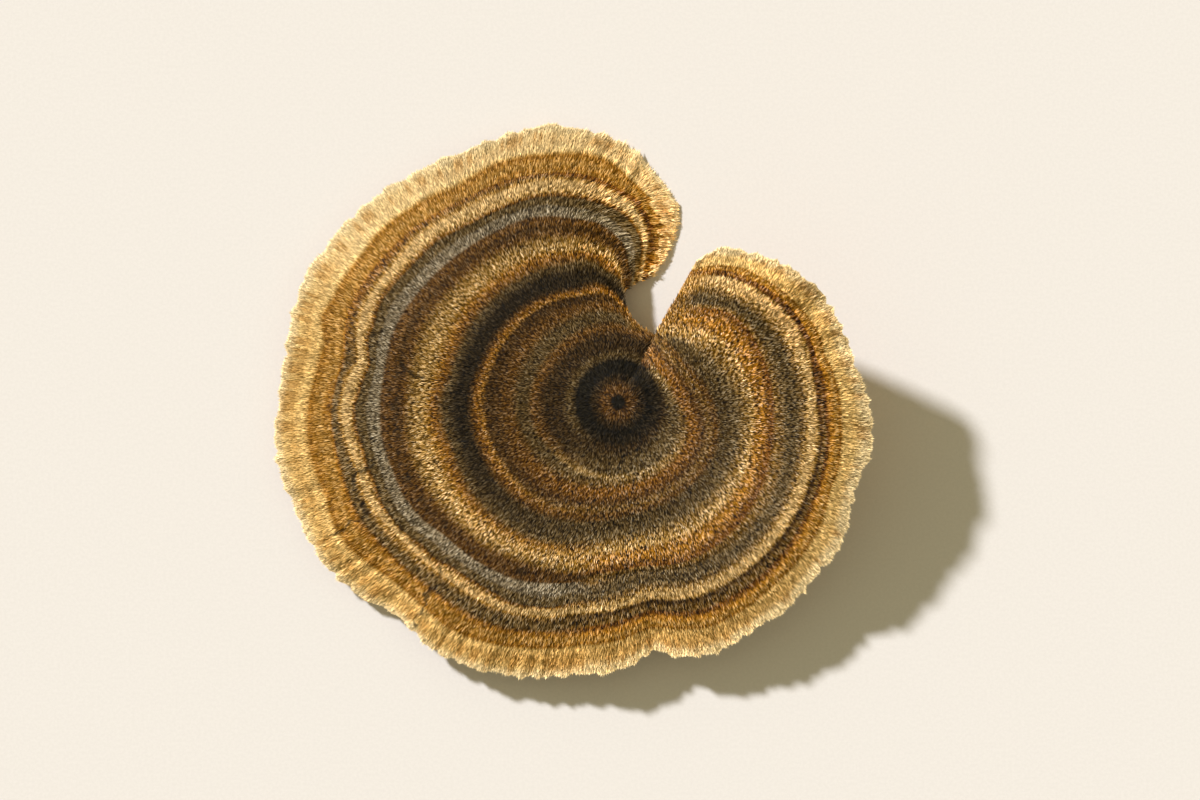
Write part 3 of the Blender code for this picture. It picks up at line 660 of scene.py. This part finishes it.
# The edge of the flesh
# The same flesh where it ends: the thin rounded margin, and the two sides of the open notch, which
# are thicker towards the eye. Velvet runs over it from above and the pore layer meets it below.
RIM_ROWS = 7
MARGIN_BULGE = 0.2
NOTCH_BULGE = 0.1


def rim_colour(start):
    """At the notch the bands carry on over the edge and turn amber lower down; the margin is ivory."""
    depth = start.kept("depth")
    zone = start.kept("zone")
    fibre = start.noise(900.0, Detail=3.0) - 0.5
    at_notch = (depth + fibre * 0.5).ramp(0.3, 0.95).mix(banded_colour(start), AMBER)
    return (zone + fibre * 0.6).ramp(12.3, 12.8).mix(at_notch, IVORY)


rim_top = open_border(skin_top, EYE_ROWS)
rim_reach = open_border(np.repeat(skin_reach[:, None], SKIN_COLUMNS, axis=1), EYE_ROWS)
rim_under = rim_top.copy()
rim_under[:, 2] = np.maximum(rim_top[:, 2] - flesh(rim_reach), FLOOR_CLEARANCE)
rim_bulge = np.where(rim_reach >= SKIN_EDGE - 0.01, MARGIN_BULGE, NOTCH_BULGE)
rim = rim_rows(rim_top, rim_under, rim_bulge, RIM_ROWS)
rim_turn = open_border(np.tile(skin_angles, (SKIN_ROWS, 1)), EYE_ROWS)
rim_lap = open_border(np.tile(skin_lap, (SKIN_ROWS, 1)), EYE_ROWS)
rim_depth = np.repeat(np.linspace(0, 1, RIM_ROWS), len(rim_top))
edge_of_flesh = new_piece(
    "edge_of_flesh", rim.reshape(-1, 3), grid_faces(RIM_ROWS, len(rim_top))[:, ::-1],
    {"zone": np.tile(open_border(skin_zones, EYE_ROWS), RIM_ROWS), "turn": np.tile(rim_turn, RIM_ROWS),
     "lap": np.tile(rim_lap, RIM_ROWS), "depth": rim_depth},
    new_material("flesh_edge", 0.85, rim_colour, 1.0))
bake_grid(edge_of_flesh, RIM_ROWS, len(rim_top))
edge_of_flesh.data.shade_smooth()


# The velvet
# Short hairs, about half a millimetre long, cover the whole top. They grew outward along the growth
# lines and lean that way, matted into small locks. Each takes the colour of the band it stands in.
HAIR_ROWS = 420
HAIR_EYE_ROWS = 40                   # those within the inner ring
HAIR_COLUMNS = 1500
hair_angles = even_angles(HAIR_COLUMNS)
hair_reach = np.concatenate((np.linspace(0.02, 1, HAIR_EYE_ROWS + 1)[:-1],
                             np.linspace(1, SKIN_EDGE, HAIR_ROWS - HAIR_EYE_ROWS)))
ground = top_surface(hair_angles, hair_reach)
ground_zones = colour_zones(hair_angles, ground)
row_step = np.gradient(ground, axis=0)
row_length = np.linalg.norm(row_step, axis=2)
outward = row_step / row_length[..., None]
around = np.gradient(ground, axis=1)
upward = np.cross(outward, around)
upward /= np.linalg.norm(upward, axis=2)[..., None] + 1e-12
upward *= np.sign(upward[..., 2:])
zone_slope = np.gradient(ground_zones, axis=0) / row_length
cell_area = np.linalg.norm(np.cross(row_step, around), axis=2)[:-1, :-1]


def read_ground(grid, row, column):
    """The value of a grid at fractional rows and columns."""
    i = np.minimum(row.astype(int), grid.shape[0] - 2)
    j = np.minimum(column.astype(int), grid.shape[1] - 2)
    a = row - i
    b = column - j
    if grid.ndim == 3:
        a = a[:, None]
        b = b[:, None]
    near = grid[i, j] * (1 - b) + grid[i, j + 1] * b
    far = grid[i + 1, j] * (1 - b) + grid[i + 1, j + 1] * b
    return near * (1 - a) + far * a


def unit(vectors):
    """The vectors, each made one long."""
    return vectors / (np.linalg.norm(vectors, axis=1)[:, None] + 1e-12)


# Degrees by which the velvet beside the notch is combed off its growth lines, zone by zone
COMBED = ((2, 20), (4, 60), (5, 55), (6.5, 25), (8, 12), (12, 22))


def comb(turn, zone):
    """Degrees by which hairs lie turned from their growth line, towards the notch on both of its sides."""
    swept = np.interp(zone, *zip(*COMBED))
    return swept * np.interp(turn, (330, 400), (0, 1)) - np.interp(turn, (62, 70), (35, 0))


TRUE_TO_PLACE = 0.97                 # how far a hair's colour follows the band under each of its points
BEND_AT = 0.55                       # share of a hair's length from its root to its bend
TIP_RISE = 0.35                      # share of its rise that is left beyond the bend
HAIR_ROLL = 0.9                      # radians, the most that a hair is turned on its own axis
LENGTH_RANGE = (0.7, 1.25)
HALF_WIDTH_RANGE = (0.35, 0.65)
SHADE_PARTS = (0.45, 0.3, 0.25)      # of a hair's shade: by every other lock, by its lock and by itself
RISE_PARTS = (0.6, 0.2, 0.5)         # of its rise: the same for all, by its shade and by its lock
OWN_SWAY = 0.4                       # share of the locks' spread that each hair adds
MARGIN_ZONES = (12.2, 12.9)          # where hairs get shorter and more alike
ZONE_SCATTER = 0.02
FRINGE_DROOP = 44.0                  # degrees, on the hooked lobe, whose fringe lies on the ground
FRINGE_GROWTH = 0.9                  # share by which the hairs there are longer
DROOP_ROWS = (HAIR_ROWS - 12, HAIR_ROWS - 3)
DROOP_ANGLES = (102, 116)
HAIR_ON_GROUND = 0.03                # height of a hair that lies there
LOCK_CHOICES = 65521
STRIP_CHOICES = 4096
MAP_BORDER = 1.0                     # room round the solid in the hairs' flat map


def hairs(name, seed, count, zones, length, width, lift, spread, lock):
    """Hairs over the zones from one to another. Each is a thin bent blade of two triangles."""
    random = np.random.default_rng(seed)
    inside = (ground_zones[:-1, :-1] >= zones[0]) & (ground_zones[:-1, :-1] < zones[1])
    total = np.cumsum((cell_area * inside).ravel())
    cell = np.searchsorted(total, random.random(count) * total[-1])
    row = cell // (HAIR_COLUMNS - 1) + random.random(count)
    column = cell % (HAIR_COLUMNS - 1) + random.random(count)
    root = read_ground(ground, row, column)
    out = unit(read_ground(outward, row, column))
    up = unit(read_ground(upward, row, column))
    side = np.cross(up, out)
    zone = read_ground(ground_zones, row, column)
    turn = np.interp(column, np.arange(HAIR_COLUMNS), hair_angles)

    # hairs that stand close together are matted into one lock and share its lean, length and shade;
    # primes scatter the numbers of the locks
    lock_width, lock_length = lock
    spacing = np.linalg.norm(read_ground(around, row, column), axis=1)
    doublings = np.round(2 * np.log2(lock_width / spacing)) / 2
    strip = np.floor(column / 2 ** doublings)
    start = random.random(STRIP_CHOICES)[(strip % STRIP_CHOICES).astype(int)]
    stretch = np.floor(np.linalg.norm(root[:, :2] - EYE, axis=1) / lock_length + start)
    number = ((strip * 7919 + stretch * 104729 + doublings * 2 * 1299709) % LOCK_CHOICES).astype(int)
    lock_random = random.random((LOCK_CHOICES, 4))[number]

    by_turns, by_lock, by_hair = SHADE_PARTS
    strand = (strip + stretch) % 2 * by_turns + lock_random[:, 3] * by_lock + random.random(count) * by_hair
    sway = np.radians(comb(turn, zone)) + (lock_random[:, 0] - 0.5) * spread
    sway += random.normal(0, spread * OWN_SWAY, count)
    for_all, by_shade, by_lock = RISE_PARTS
    rise = np.radians(lift) * (for_all + by_shade * strand + by_lock * lock_random[:, 1])
    unevenness = np.interp(zone, MARGIN_ZONES, (0.5, 0.25))
    size = length * random.uniform(*LENGTH_RANGE, count) * (1 + (lock_random[:, 2] - 0.5) * unevenness)
    size *= np.interp(zone, MARGIN_ZONES, (1.0, 0.75))
    on_ground = np.interp(row, DROOP_ROWS, (0, 1)) * np.interp(turn, DROOP_ANGLES, (1, 0))
    rise -= np.radians(FRINGE_DROOP) * on_ground
    size *= 1 + FRINGE_GROWTH * on_ground
    heading = out * np.cos(sway)[:, None] + side * np.sin(sway)[:, None]
    first = heading * np.cos(rise)[:, None] + up * np.sin(rise)[:, None]
    second = heading * np.cos(rise * TIP_RISE)[:, None] + up * np.sin(rise * TIP_RISE)[:, None]
    roll = random.uniform(-HAIR_ROLL, HAIR_ROLL, count)
    across = np.cross(heading, up)
    across = across * np.cos(roll)[:, None] + np.cross(first, across) * np.sin(roll)[:, None]
    bend = root + first * (size * BEND_AT)[:, None]
    tip = bend + second * (size * (1 - BEND_AT))[:, None]
    half = across * (width * random.uniform(*HALF_WIDTH_RANGE, count))[:, None]

    points = np.stack((root, bend + half, tip, bend - half), axis=1).reshape(-1, 3)
    points[:, 2] = np.maximum(points[:, 2], HAIR_ON_GROUND)
    corner = np.arange(count)[:, None] * 4
    faces = np.concatenate((corner + (0, 1, 3), corner + (1, 2, 3)))
    travelled = np.stack((root, bend, tip, bend), axis=1) - root[:, None]
    travelled = (travelled * out[:, None]).sum(axis=2)
    slope = read_ground(zone_slope, row, column)
    zones_on_hair = travelled * slope[:, None] * TRUE_TO_PLACE
    zones_on_hair += (zone + random.normal(0, ZONE_SCATTER, count))[:, None]
    lap = column / (HAIR_COLUMNS - 1) * MARGIN_LENGTH
    values = {"zone": zones_on_hair.ravel(), "turn": np.repeat(turn, 4), "lap": np.repeat(lap, 4),
              "strand": np.repeat(strand, 4), "reach": np.tile((0, BEND_AT, 1, BEND_AT), count)}
    piece = new_piece(name, points, faces, values, velvet)
    low = np.array(solid_box[0])[:2] / MM - MAP_BORDER
    high = np.array(solid_box[1])[:2] / MM + MAP_BORDER
    across_map, along_map = ((points[:, :2] - low) / (high - low)).T
    bake_map(piece, across_map, along_map)

    # the shading's normal lies between the ground's own and straight up
    normal = up * 0.5 + (0, 0, 0.4) + random.normal(0, 0.1, (count, 3)) + (lock_random[:, :3] - 0.5) * 0.4
    piece.data.shade_smooth()
    piece.data.normals_split_custom_set_from_vertices(np.repeat(unit(normal), 4, axis=0))


def velvet_colour(start):
    """Deep at the root, pale and greyer at the tip, and no two locks quite alike. The margin is evenest."""
    strand = start.kept("strand")
    reach = start.kept("reach")
    zone = start.kept("zone")
    turn = start.kept("turn")
    contrast = 0.95 + 0.1 * turn.ramp(200, 270) - 0.35 * zone.hump(9.5, 0.6)
    contrast = contrast - 0.3 * zone.ramp(10.8, 11.2) - 0.35 * zone.ramp(11.8, 12.4)
    # painted shade at each hair's root and painted light at its tip, over the locks' own shades
    light = (1 + (strand * strand * 2.9 - 1.0) * contrast) * (0.4 + 0.7 * reach)
    # painted highlight: the lighter a hair is painted, the paler, greyer and yellower it gets
    tone_and_painted_light = {"Hue": 0.494 + light * 0.006, "Saturation": 1 + (0.37 - light * 0.27) * contrast, "Value": light}
    return start.node("HueSaturation", None, {**tone_and_painted_light, "Color": banded_colour(start)})


velvet = new_material("velvet", 0.75, velvet_colour, 1.25)
HAIR_COUNT = 85000

# The velvet's pieces: zones, then length, width, lift and spread of the hairs, and a lock's width and length
VELVET = (
    ("velvet_heart", (0.0, 5.3), 0.42, 0.065, 38, 0.3, (0.085, 0.28)),
    ("velvet_inner", (5.3, 7.1), 0.48, 0.06, 30, 0.18, (0.085, 0.32)),
    ("velvet_middle", (7.1, 9.3), 0.48, 0.06, 27, 0.15, (0.085, 0.32)),
    ("velvet_outer", (9.3, 11.6), 0.52, 0.06, 25, 0.14, (0.09, 0.4)),
    ("velvet_margin", (11.6, 13.1), 0.52, 0.055, 20, 0.14, (0.09, 0.5)),
)
for seed, (name, *measures) in enumerate(VELVET, start=1):
    hairs(name, seed, HAIR_COUNT, *measures)


# The pore layer and the foot
# Ivory to buff, leathery and pricked with fine pores, it covers the underside and meets the short
# brown fibrous foot, which was cut flat where the bracket left its wood.
FOOT_CUT = (8.0, 5.5)
FOOT_FLARE = 1.22
FLARE_CURVE = 2.6
CUT_TO_NOTCH = 0.6
PORE_COLUMNS = 360
PORE_ROWS = 54
CUT_ROWS = 11
FOOT_ROWS = 8
FAN_STEPS = 12                       # rows for each ring, where reaches are looked up
CUT_EDGE_REACH = 0.6
PORE_SCALE = 3800.0
PORE_PIT = 0.0001                    # metres, the depth of a pore in the bump
PORE_IVORY = paint(218, 184, 126)
PORE_BUFF = paint(194, 152, 92)
PORE_PAINTED_SHADE = paint(146, 110, 66)
FOOT_DARK = paint(120, 84, 48)
FOOT_PALE = paint(178, 136, 84)


def foot_radius(direction):
    """Distance from the eye to the edge of the cut foot, an ellipse about the origin, along a direction."""
    half_length, half_width = FOOT_CUT
    along = direction / np.array((half_length, half_width))
    start = EYE / np.array((half_length, half_width))
    a = along @ along
    b = start @ along
    c = start @ start - 1.0
    return (-b + np.sqrt(b * b - a * c)) / a


def under_surface(angles):
    """Rows of the underside: from the middle of the cut face, over its edge and flare, to the margin.

    Gives their points, and their reach: up to 0.6 on the cut face, 1 at the flare and then that of the top.
    """
    fan_reach = np.linspace(0, len(RINGS), len(RINGS) * FAN_STEPS + 1)
    fan = top_surface(angles, fan_reach)
    distance = np.linalg.norm(fan[..., :2] - EYE, axis=2)
    heading = fan[FAN_STEPS, :, :2] - EYE
    heading /= np.linalg.norm(heading, axis=1)[:, None]
    cut = np.array([foot_radius(direction) for direction in heading])
    columns = range(len(angles))

    def reach_at(radius):
        return np.array([np.interp(radius[i], distance[:, i], fan_reach) for i in columns])

    flare_reach = reach_at(cut * FOOT_FLARE)
    top_height = np.array([np.interp(flare_reach[i], fan_reach, fan[:, i, 2]) for i in columns])
    flare_height = top_height - FLESH_AT_EYE
    rows = []
    reaches = []
    for share in np.linspace(0, 1, CUT_ROWS + 1)[:-1]:
        rows.append(np.column_stack((EYE + heading * (cut * share)[:, None], np.zeros(len(angles)))))
        reaches.append(np.full(len(angles), share * CUT_EDGE_REACH))
    for share in np.linspace(0, 1, FOOT_ROWS + 1)[:-1]:
        out = 1 + (FOOT_FLARE - 1) * share ** FLARE_CURVE
        rows.append(np.column_stack((EYE + heading * (cut * out)[:, None], flare_height * share)))
        reaches.append(np.full(len(angles), CUT_EDGE_REACH + share * (1 - CUT_EDGE_REACH)))
    first_open = np.maximum(1.0, reach_at(cut * FOOT_FLARE + CUT_TO_NOTCH))
    for share in np.linspace(0, 1, PORE_ROWS - len(rows)):
        reach = first_open + (SKIN_EDGE - first_open) * share
        row = top_surface(angles, reach[None, :])[0]
        row[:, 2] = np.maximum(row[:, 2] - flesh(reach), FLOOR_CLEARANCE)
        rows.append(row)
        reaches.append(reach)
    return np.array(rows), np.array(reaches)


def pore_distance(start):
    """Distance to the middle of the nearest pore, as a share of the pores' spacing."""
    where = {"Vector": start.node("TexCoord", output="Object"), "Scale": PORE_SCALE}
    return start.node("TexVoronoi", {"feature": "F1"}, where, output="Distance")


def pore_colour(start):
    """Ivory to buff with painted shade in the pores, none near the margin, and a browner, fibrous foot."""
    reach = start.kept("reach")
    pores = pore_distance(start)
    cloud = start.noise(120.0, Detail=4.0)
    fibre = start.noise(1500.0, Detail=3.0)
    base = cloud.ramp(0.35, 0.7).mix(PORE_IVORY, PORE_BUFF)
    # painted shade in each pore, darkest at its middle
    pored = (pores.ramp(0.18, 0.42) + reach.ramp(9.5, 9.75)).mix(PORE_PAINTED_SHADE, base)
    foot = fibre.ramp(0.35, 0.65).mix(FOOT_DARK, FOOT_PALE)
    return (reach + (cloud - 0.5) * 0.6).ramp(0.6, 1.3).mix(foot, pored)


def pore_normal(start):
    """Each pore is a little pit."""
    pores = pore_distance(start)
    return start.node("Bump", None, {"Height": pores.ramp(0.1, 0.45), "Strength": 0.6, "Distance": PORE_PIT})


pore_angles = even_angles(PORE_COLUMNS)
under, under_reach = under_surface(pore_angles)
pore_layer = new_piece(
    "pore_layer", under.reshape(-1, 3), grid_faces(PORE_ROWS, PORE_COLUMNS)[:, ::-1],
    {"reach": under_reach.ravel()}, new_material("pores", 0.8, pore_colour, 1.0, pore_normal))
bake_grid(pore_layer, PORE_ROWS, PORE_COLUMNS)
pore_layer.data.shade_smooth()


# The floor
# A sheet of pale paper-like board, a little rough.
FLOOR_SIZE = 4000.0
BOARD_SHADE = (0.680, 0.647, 0.642, 1)
BOARD_LIGHT = (0.710, 0.676, 0.671, 1)


def floor_colour(start):
    """Pale and warm, with a fine grain."""
    grain = start.noise(3200.0, Detail=2.0, Roughness=0.7)
    return grain.ramp(0.3, 0.7).mix(BOARD_SHADE, BOARD_LIGHT)


floor_mesh = bpy.data.meshes.new("floor")
half_floor = FLOOR_SIZE * MM / 2
corners = [(x * half_floor, y * half_floor, 0) for x, y in ((-1, -1), (1, -1), (1, 1), (-1, 1))]
floor_mesh.from_pydata(corners, [], [(0, 1, 2, 3)])
floor_mesh.materials.append(new_material("board", 0.95, floor_colour, 1.0))
floor = bpy.data.objects.new("floor", floor_mesh)
bpy.context.scene.collection.objects.link(floor)


# Light and camera
# One small bright lamp from the upper left, and a warm fill from all round.
SUN_FROM = (-0.626, 0.544, 0.559)
SUN_STRENGTH = 5.15
SUN_WIDTH = 5.0                      # degrees
FILL = (0.42, 0.38, 0.23, 1)
sun_data = bpy.data.lights.new("sun", "SUN")
sun_data.energy = SUN_STRENGTH
sun_data.angle = np.radians(SUN_WIDTH)
sun = bpy.data.objects.new("sun", sun_data)
sun.rotation_mode = "QUATERNION"
sun.rotation_quaternion = Vector(SUN_FROM).to_track_quat("Z", "Y")
bpy.context.scene.collection.objects.link(sun)

world = bpy.data.worlds.new("fill")
world.use_nodes = True
world.node_tree.nodes["Background"].inputs["Color"].default_value = FILL
bpy.context.scene.world = world
bpy.context.scene.view_settings.view_transform = "Standard"

CAMERA_HEIGHT = 2000.0
FRAME_WIDTH = 120.0                  # across the picture, at the height of the eye
VIEW_CENTRE = (2.2, 0.2)
SENSOR_WIDTH = 36.0
camera_data = bpy.data.cameras.new("camera")
camera_data.sensor_width = SENSOR_WIDTH
camera_data.lens = SENSOR_WIDTH * (CAMERA_HEIGHT - EYE_HEIGHT) / FRAME_WIDTH
camera = bpy.data.objects.new("camera", camera_data)
camera.location = (VIEW_CENTRE[0] * MM, VIEW_CENTRE[1] * MM, CAMERA_HEIGHT * MM)
bpy.context.scene.collection.objects.link(camera)
bpy.context.scene.camera = camera
